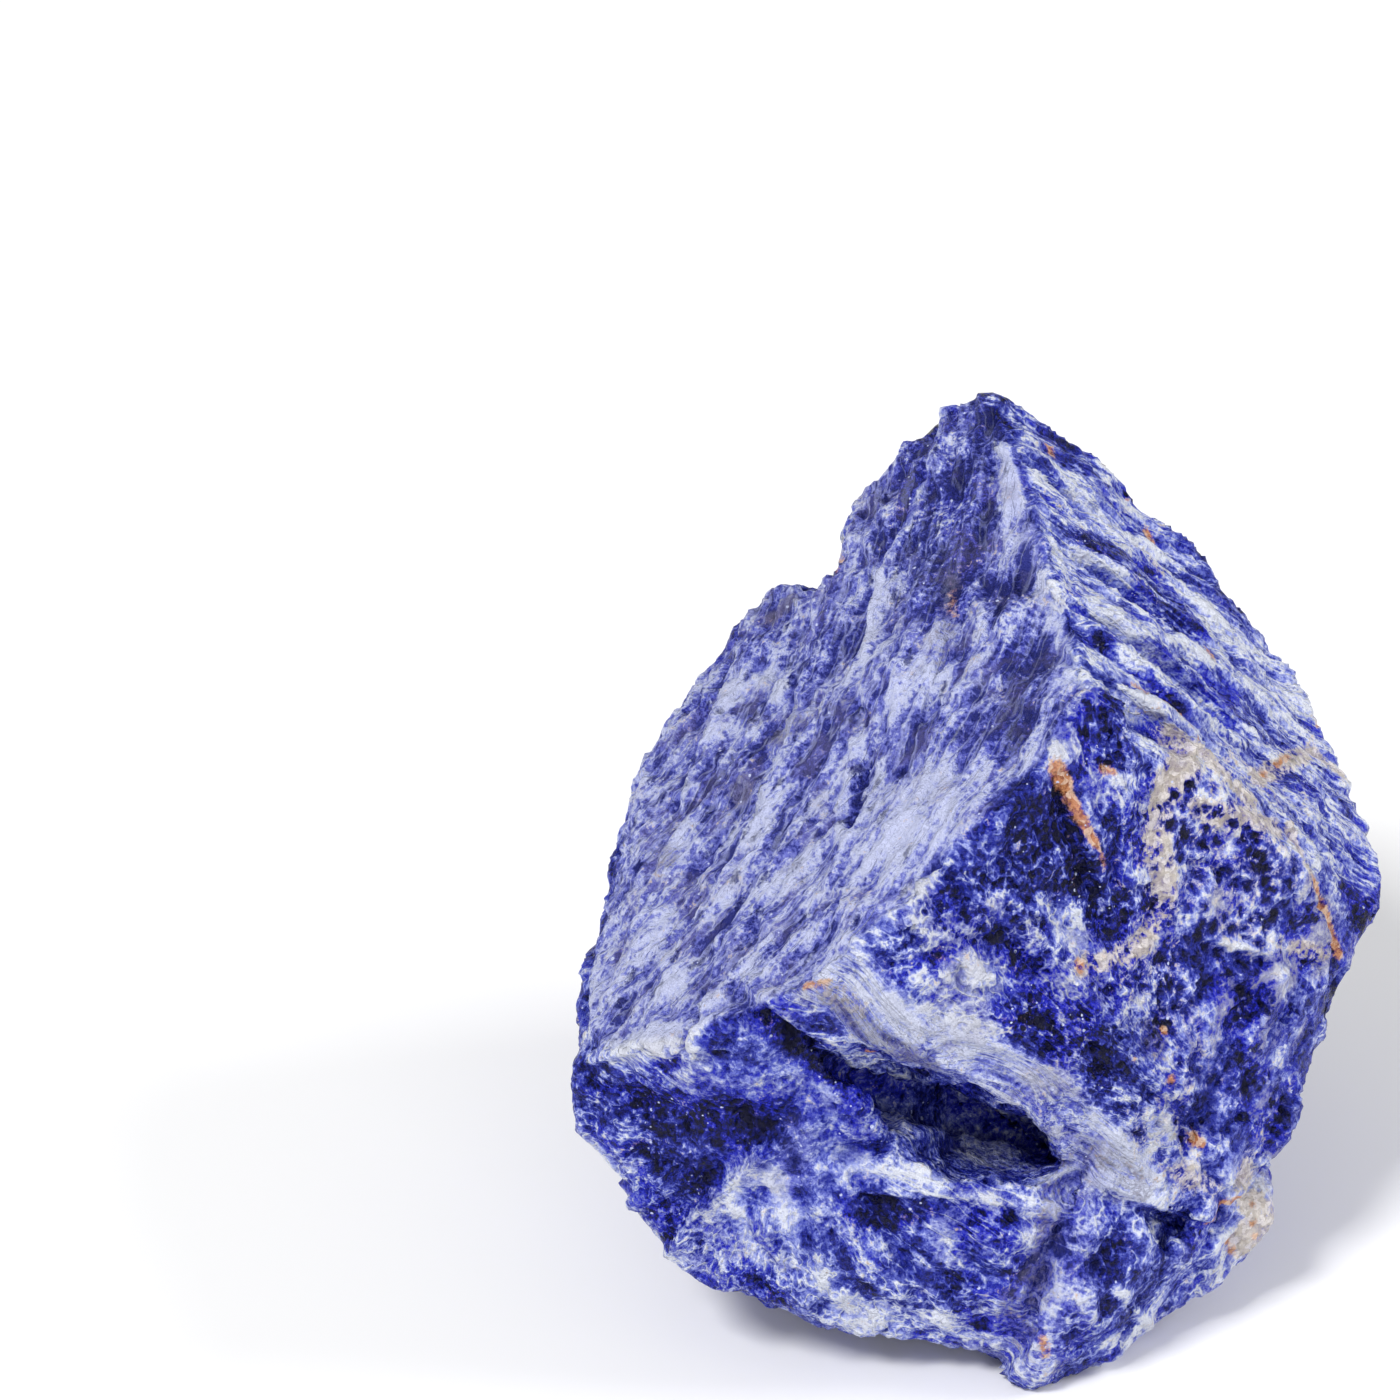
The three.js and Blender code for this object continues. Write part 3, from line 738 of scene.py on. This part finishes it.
def flows(tree, points):
    # Coordinates that run across and along each face's strands. Patterns that read them are drawn out.
    left = unit(stoneShape["leftFace"])
    spoke = points - np.array(stoneShape["strandCentre"])
    height = spoke @ left
    spoke = spoke - height[:, None] * left
    side = np.cross(left, (0, 0, 1))
    side /= np.linalg.norm(side)
    uphill = np.cross(side, left)
    radius = np.linalg.norm(spoke, axis=1)
    arc = np.arctan2(spoke @ side, spoke @ uphill) * radius.mean()
    leftFlow = np.stack([radius, arc / stoneShape["strandStretch"], height], axis=1)

    along = unit(stoneShape["slopeAlong"])
    outward = unit(stoneShape["slopeFace"])
    across = np.cross(along, outward)
    bands = [points @ across, points @ along / stoneShape["slopeStretch"], points @ outward]
    slopeFlow = np.stack(bands, axis=1)

    lip = fromLine(tree, points, lipLine)[0]
    band = fromLine(tree, points, bandLine)[0]
    rimFlow = np.stack([lip, points[:, 0] / stoneShape["rimStretch"], band], axis=1)

    flow = {"leftFlow": leftFlow, "slopeFlow": slopeFlow, "rimFlow": rimFlow}
    for name, (pixel, facing, radius, stretch) in fans.items():
        flow[name] = fanned(points, placeOn(tree, pixel), facing, radius * mm, stretch)
    return flow


def edged(values, region):
    return rise(values, *stoneShape["edges"][region])


def findRegions(tree, points, broad, band, surface):
    # The share of each region at each point, from 0 to 1.
    across, down = pixelsOf(points)
    below = down - np.interp(across, *zip(*underSide))
    height = points[:, 2]
    towardsCamera = edged(broad @ np.array(backward), "towardsCamera")
    film = edged(broad @ unit(stoneShape["leftFace"]), "film") * edged(height, "filmHeight")
    ragged = height + stoneShape["slopeRagged"] * surface["ragged"]
    slope = edged(broad @ unit(stoneShape["slopeFace"]), "slope") * edged(ragged, "slopeHeight")
    rim = (1 - edged(band, "rim")) * (1 - film) * (1 - edged(below, "rimBelow"))
    hollow = 1 - edged(fromLine(tree, points, hollowLine)[0], "hollow")
    belly = edged(below, "belly") * np.maximum(towardsCamera, hollow) * (1 - film)
    front = np.clip(1 - film - slope - rim - belly, 0, 1)
    fan = front * towardsCamera * (1 - edged(across, "fan"))
    rear = front * (1 - towardsCamera)
    hub = fans["bellyFlow"][0]
    spread = belly * (1 - hollow) * edged(np.hypot(across - hub[0], down - hub[1]), "spread")
    regions = {"film": film, "slope": slope, "rim": rim, "belly": belly, "fan": fan, "spread": spread}
    return {**regions, "rear": rear}, front


def findSurface(points, flow):
    # Every kind of relief over the whole stone, each about zero on average.
    places = {"place": points, **flow}
    surface = {}
    for name, (source, wave, octaves, offset) in stoneShape["noise"].items():
        surface[name] = noiseAt(places[source], wave * mm, octaves, offset)
    for name, (wave, tilt, offset) in stoneShape["chips"].items():
        surface[name] = chipsAt(points, wave * mm, tilt, offset)
    surface["threads"] = 1 - stoneShape["threadSharpness"] * np.abs(surface["threads"])

    terrace = flow["slopeFlow"][:, 0] / stoneShape["terraceWidth"]
    terrace = terrace + stoneShape["terraceWarp"] * surface["terraceWarp"]
    terrace = terrace - np.floor(terrace)
    drop = stoneShape["terraceEdge"]
    surface["steps"] = rise(terrace, 0, drop) * (1 - rise(terrace, drop, 1.0)) - 0.5
    leaf = surface["leafSteps"] * stoneShape["leavesPerWave"]
    surface["leafSteps"] = rise(leaf - np.floor(leaf), *stoneShape["leafEdge"]) - 0.5
    return surface


def writeAttribute(mesh, name, values):
    kind = "FLOAT" if values.ndim == 1 else "FLOAT_VECTOR"
    field = "value" if values.ndim == 1 else "vector"
    made = mesh.attributes.new(name, kind, "POINT")
    made.data.foreach_set(field, values.astype(np.float32).ravel())


def insideBox(points):
    # The relief stays inside the CAD solid's box: it is pressed together near the sides, and cut at the foot.
    low, high = np.array(cadBox)
    soft = stoneShape["softEdge"]
    over = np.maximum(points - (high - soft), 0)
    points = np.minimum(points, high - soft) + soft * (1 - np.exp(-over / soft))
    under = np.maximum(low + soft - points, 0)[:, :2]
    points[:, :2] = np.maximum(points, low + soft)[:, :2] - soft * (1 - np.exp(-under / soft))
    points[:, 2] = np.maximum(points[:, 2], low[2])
    return points


def shapeStone():
    mesh = fineMesh(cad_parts["stone"])
    points = readVectors(mesh.vertices, "co")
    normals = readVectors(mesh.vertex_normals, "vector")
    edges = np.array([edge.vertices[:] for edge in mesh.edges])
    broad = averaged(normals, edges, stoneShape["broadRounds"])
    broad /= np.linalg.norm(broad, axis=1)[:, None]
    print("stone mesh:", len(points), "vertices")

    shape = bmesh.new()
    shape.from_mesh(mesh)
    tree = BVHTree.FromBMesh(shape)
    shape.free()
    layers = {name: paintedLayer(tree, points, marks) for name, marks in markings.items()}
    print("markings are placed")

    flow = flows(tree, points)
    surface = findSurface(points, flow)
    regions, front = findRegions(tree, points, broad, flow["rimFlow"][:, 2], surface)
    grounds = {**regions, "front": front, "frontRear": front * regions["rear"], "everywhere": 1}
    kinds = [stoneShape["fineRelief"], stoneShape["broadRelief"]]
    fine, wide = [sum(grounds[name] * weighted(surface, shares) for name, shares in kind.items())
                  for kind in kinds]
    fold = folded(tree, points)
    relief = wide + fine + fold + lifted(tree, points, swells) - stoneShape["inset"]
    points = insideBox(points + normals * relief[:, None])
    mesh.vertices.foreach_set("co", points.ravel())

    # How far the relief rises or sinks. The finish paints raised relief paler and grooves darker from it, as
    # painted highlight and shade.
    crest = np.clip((fine + fold) / stoneShape["crestHeight"], -1, 1)
    for name, values in {**layers, **flow, **regions, "crest": crest}.items():
        writeAttribute(mesh, name, values)
    mesh.update()
    print("relief is raised")

    stone = bpy.data.objects.new("roughStone", mesh)
    scene.collection.objects.link(stone)
    return stone


class Wire:
    # A socket in an expression: each operator adds the Math node that works it out.
    def __init__(self, finish, socket):
        self.finish = finish
        self.socket = socket

    def math(self, operation, *values):
        return self.finish.node("ShaderNodeMath", {"operation": operation}, dict(enumerate(values)))

    def __add__(self, other):
        return self.math("ADD", self, other)

    def __sub__(self, other):
        return self.math("SUBTRACT", self, other)

    def __rsub__(self, other):
        return self.math("SUBTRACT", other, self)

    def __mul__(self, other):
        return self.math("MULTIPLY", self, other)

    __radd__ = __add__
    __rmul__ = __mul__


class Finish:
    def __init__(self, name):
        self.material = bpy.data.materials.new(name)
        self.material.use_nodes = True
        self.tree = self.material.node_tree
        self.shader = self.tree.nodes["Principled BSDF"]

    def node(self, kind, settings, sockets, output=0):
        made = self.tree.nodes.new(kind)
        for name, value in settings.items():
            setattr(made, name, value)
        for key, value in sockets.items():
            if isinstance(value, Wire):
                self.tree.links.new(value.socket, made.inputs[key])
            else:
                made.inputs[key].default_value = value
        return Wire(self, made.outputs[output])

    def attribute(self, name, output="Fac"):
        return self.node("ShaderNodeAttribute", {"attribute_name": name}, {}, output)

    def scaled(self, places, factors):
        return self.node("ShaderNodeVectorMath", {"operation": "MULTIPLY"}, {0: places, 1: factors})

    def cloud(self, places, wave, detail, roughness, distortion):
        sockets = {"Vector": places, "Scale": 1 / wave, "Detail": detail, "Roughness": roughness,
                   "Distortion": distortion}
        return self.node("ShaderNodeTexNoise", {}, sockets)

    def cells(self, places, wave):
        # The distance to a cell's middle, and a number of the cell's own, both 0 to about 1.
        distance = self.node("ShaderNodeTexVoronoi", {}, {"Vector": places, "Scale": 1 / wave}, "Distance")
        colour = Wire(self, distance.socket.node.outputs["Color"])
        return distance, self.node("ShaderNodeSeparateColor", {}, {0: colour})

    def lines(self, flow, wave, waver=0.2):
        # Thin lines along a flow: 1 on a line and 0 away from it.
        stretch = 3.0
        halfWidth = 0.06
        level = self.cloud(self.scaled(flow, (1, 1 / stretch, 1)), wave, 2.0, 0.5, waver) - 0.5
        return 1 - self.between(level.math("ABSOLUTE", level), 0.0, halfWidth)

    def between(self, value, low, high, bottom=0.0, top=1.0):
        sockets = {"Value": value, "From Min": low, "From Max": high, "To Min": bottom, "To Max": top}
        return self.node("ShaderNodeMapRange", {"interpolation_type": "SMOOTHSTEP"}, sockets)

    def mixed(self, share, first, second):
        return self.node("ShaderNodeMix", {"data_type": "RGBA"}, {0: share, 6: first, 7: second}, 2)

    def graded(self, value, colour, steps, palette):
        # Colours that follow one another as the value rises.
        for name, (low, high) in steps.items():
            colour = self.mixed(self.between(value, low, high), colour, palette[name])
        return colour

    def feed(self, socket, wire):
        self.tree.links.new(wire.socket, self.shader.inputs[socket])


def paint(red, green, blue):
    # A colour as a screen shows it, 0 to 255, made linear.
    shares = [channel / 255 for channel in (red, green, blue)]
    return [share / 12.92 if share <= 0.04045 else ((share + 0.055) / 1.055) ** 2.4 for share in shares] + [1]


sodalite = {
    "ink": paint(2, 3, 38),
    "navy": paint(10, 15, 86),
    "royal": paint(36, 46, 154),
    "vivid": paint(28, 36, 192),
    "haze": paint(100, 111, 202),
    "mist": paint(163, 173, 231),
    "white": paint(226, 230, 244),
    "dusk": paint(150, 146, 166),
    # The white of the painted glints.
    "paintedGlint": paint(214, 222, 255),
    "cream": paint(188, 174, 156),
    "chalk": paint(232, 222, 216),
    "amber": paint(202, 138, 90),
    "rust": paint(158, 92, 60),
    "peach": paint(224, 186, 158),
    "grey": paint(112, 108, 134),
    "filmDeep": paint(48, 54, 136),
    "filmMiddle": paint(112, 118, 204),
    "filmPale": paint(194, 200, 238),
    "filmWarm": paint(128, 122, 154),
    "gloss": 0.28,
    "specular": 0.2,
    "bumpHeight": 0.5 * mm,
    "stirWave": 1.1 * mm,
    "stirReach": 0.5 * mm,  # how far the grains' borders are pushed about
    "blotchSquash": (1, 1.8, 1),
    "toneBase": 0.38,
    "toneRange": (-0.2, 1.15, 0.08, 0.92),  # the tones that come in, and what they are pressed into
    # Clouds of colour: the coordinates that they read, wave in mm, detail, roughness and distortion.
    "clouds": {
        "clouds": ("place", 3.2, 5.0, 0.62, 0.3),
        "patches": ("place", 9, 2.0, 0.5, 0.0),
        "fine": ("place", 0.5, 3.0, 0.72, 0.0),
        "strands": ("leftFlow", 1.5, 5.0, 0.64, 0.4),
        "blotches": ("leftRounder", 4.2, 4.0, 0.62, 0.6),
        "bands": ("slopeFlow", 2.3, 6.0, 0.64, 0.3),
        "leaves": ("rimFlow", 0.8, 5.0, 0.7, 0.2),
        "ledges": ("bellyFlow", 1.8, 6.0, 0.68, 0.3),
        "streaks": ("frontFlow", 2.0, 6.0, 0.68, 0.3),
    },
    # Thin pale lines in a region: the coordinates that they read, and wave in mm.
    "cuts": {"slope": ("slopeFlow", 0.8), "spread": ("bellyFlow", 0.8), "fan": ("frontFlow", 0.9),
             "rim": ("rimFlow", 0.6)},
    "cells": {"grains": 1.3, "crumbs": 0.55, "pits": 1.5, "paintedGlints": 0.8, "glints": 0.42},  # wave in mm
    "plainPattern": {"clouds": 1.6, "patches": 0.5},
    "rearPattern": {"bands": 1.3, "patches": 1.0, "clouds": -0.5},  # what the back adds
    # What takes the plain pattern's place in a region, and how much of its place.
    "patterns": {
        "film": (1.0, {"strands": 1.7, "blotches": 2.0, "clouds": 0.4}),
        "slope": (1.0, {"bands": 3.0, "clouds": 0.5}),
        "rim": (1.0, {"leaves": 1.9, "clouds": 0.4}),
        "spread": (0.85, {"ledges": 2.6, "patches": 0.4}),
        "fan": (0.75, {"streaks": 2.6, "patches": 0.4}),
    },
    # How much paler each region or mark is, and how much less netting and dusk it shows.
    "tones": {"film": 0.14, "slope": 0.25, "rim": 0.26, "belly": 0.1, "fan": -0.06, "white": 0.4,
              # The painted-light spots are made paler here: painted light over shade.
              "cream": 0.14, "navy": -0.4, "paintedLight": 0.14, "web": -0.03},
    "netting": {"film": -0.7, "slope": -0.6, "rim": -0.5, "belly": -0.3},
    "duskiness": {"film": -1, "slope": -1, "belly": -0.7, "fan": -0.5, "rear": -0.5},
    "thinFilm": {"rim": 0.45, "lavender": 0.6},
    # How pale the stone is where each colour begins and where it is whole.
    "blueSteps": {"navy": (-0.03, 0.19), "royal": (0.15, 0.43), "haze": (0.4, 0.65),
                  "mist": (0.59, 0.79), "white": (0.76, 0.96)},
    "filmSteps": {"filmMiddle": (0.26, 0.54), "filmPale": (0.52, 0.88)},
}


def sodaliteFinish():
    finish = Finish("sodalite")
    place = finish.node("ShaderNodeTexCoord", {}, {}, "Object")
    regions = ("film", "slope", "rim", "belly", "fan", "spread", "rear")
    at = {name: finish.attribute(name) for name in (*markings, *regions, "crest")}
    film, belly, rear, white = at["film"], at["belly"], at["rear"], at["white"]
    navy, web, paintedLight = at["navy"], at["web"], at["paintedLight"]
    flowNames = ("leftFlow", "slopeFlow", "rimFlow", *fans)
    flow = {name: finish.attribute(name, "Vector") for name in flowNames}
    leftFlow = flow["leftFlow"]
    flow["place"] = place
    flow["leftRounder"] = finish.scaled(leftFlow, sodalite["blotchSquash"])

    # Clouds, grains and fine crystals, each about zero on average.
    cloud = {}
    for name, (source, wave, *traits) in sodalite["clouds"].items():
        cloud[name] = finish.cloud(flow[source], wave * mm, *traits) - 0.5
    clouds, patches, fine, blotches = cloud["clouds"], cloud["patches"], cloud["fine"], cloud["blotches"]
    threads = film * (1 - navy * 0.6) * finish.lines(leftFlow, 1.0 * mm, 0.4)
    cuts = 0
    for region, (source, wave) in sodalite["cuts"].items():
        cuts = at[region] * finish.lines(flow[source], wave * mm) + cuts

    stir = finish.node("ShaderNodeTexNoise", {}, {"Vector": place, "Scale": 1 / sodalite["stirWave"],
                                                  "Detail": 2.0}, 1)
    stirred = finish.node("ShaderNodeVectorMath", {"operation": "MULTIPLY_ADD"},
                          {0: stir, 1: (sodalite["stirReach"],) * 3, 2: place})
    grains, grainTone = finish.cells(stirred, sodalite["cells"]["grains"] * mm)
    crumbs, crumbTone = finish.cells(stirred, sodalite["cells"]["crumbs"] * mm)

    # How pale the stone is, 0 for ink blue to 1 for white: broad tones first, kept off both ends.
    pattern = weighted(cloud, sodalite["plainPattern"]) + rear * weighted(cloud, sodalite["rearPattern"])
    for region, (share, shares) in sodalite["patterns"].items():
        pattern = pattern + at[region] * share * (weighted(cloud, shares) - pattern)
    pattern = pattern * (1 - web * 0.45)
    tone = weighted(at, sodalite["tones"], pattern + sodalite["toneBase"])
    tone = finish.between(tone, *sodalite["toneRange"])
    netting = (grains - 0.42) * (0.2 + web * 0.95)
    netting = netting + (crumbs - 0.4) * 0.24 + (grainTone - 0.5) * 0.24 + (crumbTone - 0.5) * 0.24
    netting = netting * weighted(at, sodalite["netting"], 1)
    detail = (netting + fine * (1.1 + film * 0.5)) * (1 + navy * 0.4)
    # Raised relief is painted paler and grooves darker (crest): painted highlight and shade.
    pale = tone + detail * (1 - white * 0.5) + at["crest"] * 0.2 + threads * 0.16 + cuts * 0.28
    royal = finish.mixed(finish.between(clouds + patches, -0.1, 0.16), sodalite["royal"], sodalite["vivid"])
    colour = finish.graded(pale, sodalite["ink"], sodalite["blueSteps"], {**sodalite, "royal": royal})
    dusk = finish.between(cloud["streaks"] + patches, -0.02, 0.16) * finish.between(pale, 0.35, 0.6)
    colour = finish.mixed(dusk * weighted(at, sodalite["duskiness"], 1) * 0.6, colour, sodalite["dusk"])

    # The lavender film over the left face, with dark pits and warmer, greyer stretches.
    hazed = finish.graded(pale, sodalite["filmDeep"], sodalite["filmSteps"], sodalite)
    warm = finish.between(clouds - blotches * 0.6, 0.02, 0.14)
    hazed = finish.mixed(warm * 0.32, hazed, sodalite["filmWarm"])
    filmShare = weighted(at, sodalite["thinFilm"], film * 0.8 * (1 - navy * 0.45))
    colour = finish.mixed(filmShare, colour, hazed)
    colour = finish.mixed(threads * 0.34, colour, sodalite["filmPale"])
    pits = finish.cells(leftFlow, sodalite["cells"]["pits"] * mm)[0]
    pits = 1 - finish.between(pits + fine * 0.5, 0.04, 0.22)
    colour = finish.mixed(pits * film * 0.6, colour, sodalite["navy"])

    # Veins and stains, with borders that are ragged from grain to grain.
    ragged = fine * 1.6 + clouds * 0.8 + (crumbTone - 0.5) * 0.2
    veined = finish.between(at["cream"] + web * 0.35 + ragged * 1.2, 0.25, 0.8)
    creamTone = finish.mixed(finish.between(fine + crumbTone, 0.4, 0.9), sodalite["cream"], sodalite["chalk"])
    colour = finish.mixed(veined * finish.between(pale, 0.32, 0.64) * 0.75, colour, creamTone)
    grey = finish.between(at["grey"] + ragged, 0.3, 0.8)
    colour = finish.mixed(grey * 0.6, colour, sodalite["grey"])
    amber = finish.between(at["amber"] + ragged * 1.1, 0.24, 0.86)
    amberTone = finish.mixed(finish.between(fine, -0.12, 0.06), sodalite["rust"], sodalite["amber"])
    amberTone = finish.mixed(finish.between(crumbTone + fine, 0.5, 0.9), amberTone, sodalite["peach"])
    colour = finish.mixed(amber * 0.92, colour, amberTone)

    # Painted glints: white specks in the base colour where a grain's flat face would catch a lamp, with less
    # roughness there, and more of them where the painted-light layer lies.
    away, size = finish.cells(place, sodalite["cells"]["paintedGlints"] * mm)
    paintedGlints = finish.between(size * 0.24 - away, 0.02, 0.08) * finish.between(clouds + fine * 0.6, -0.02, 0.06)
    away, size = finish.cells(place, sodalite["cells"]["glints"] * mm)
    glints = finish.between(size * 1.6 - away + paintedLight * 0.5, 1.5, 1.62)
    paintedGlints = paintedGlints + glints * finish.between(paintedLight, 0.05, 0.4) * (1 - paintedGlints)
    colour = finish.mixed(paintedGlints * 0.9, colour, sodalite["paintedGlint"])

    finish.shader.inputs["Specular IOR Level"].default_value = sodalite["specular"]
    finish.feed("Base Color", colour)
    finish.feed("Roughness", sodalite["gloss"] + fine * 0.4 - paintedGlints * 0.3 - navy * 0.08 + film * 0.08)
    rough = fine * 1.2 + pattern * 0.5 + (grains + crumbs) * (0.5 - film * 0.35)
    rough = rough + threads * 0.25 + cuts * 0.25 + film * (cloud["strands"] * 1.4 - pits * 0.4)
    heights = {"Strength": 1.0, "Distance": sodalite["bumpHeight"], "Height": rough}
    finish.feed("Normal", finish.node("ShaderNodeBump", {}, heights))
    return finish.material


stone = shapeStone()
stone.data.materials.append(sodaliteFinish())
stone.data.shade_smooth()
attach(stone, "root")
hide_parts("stone")
print("stone is shaped and finished")
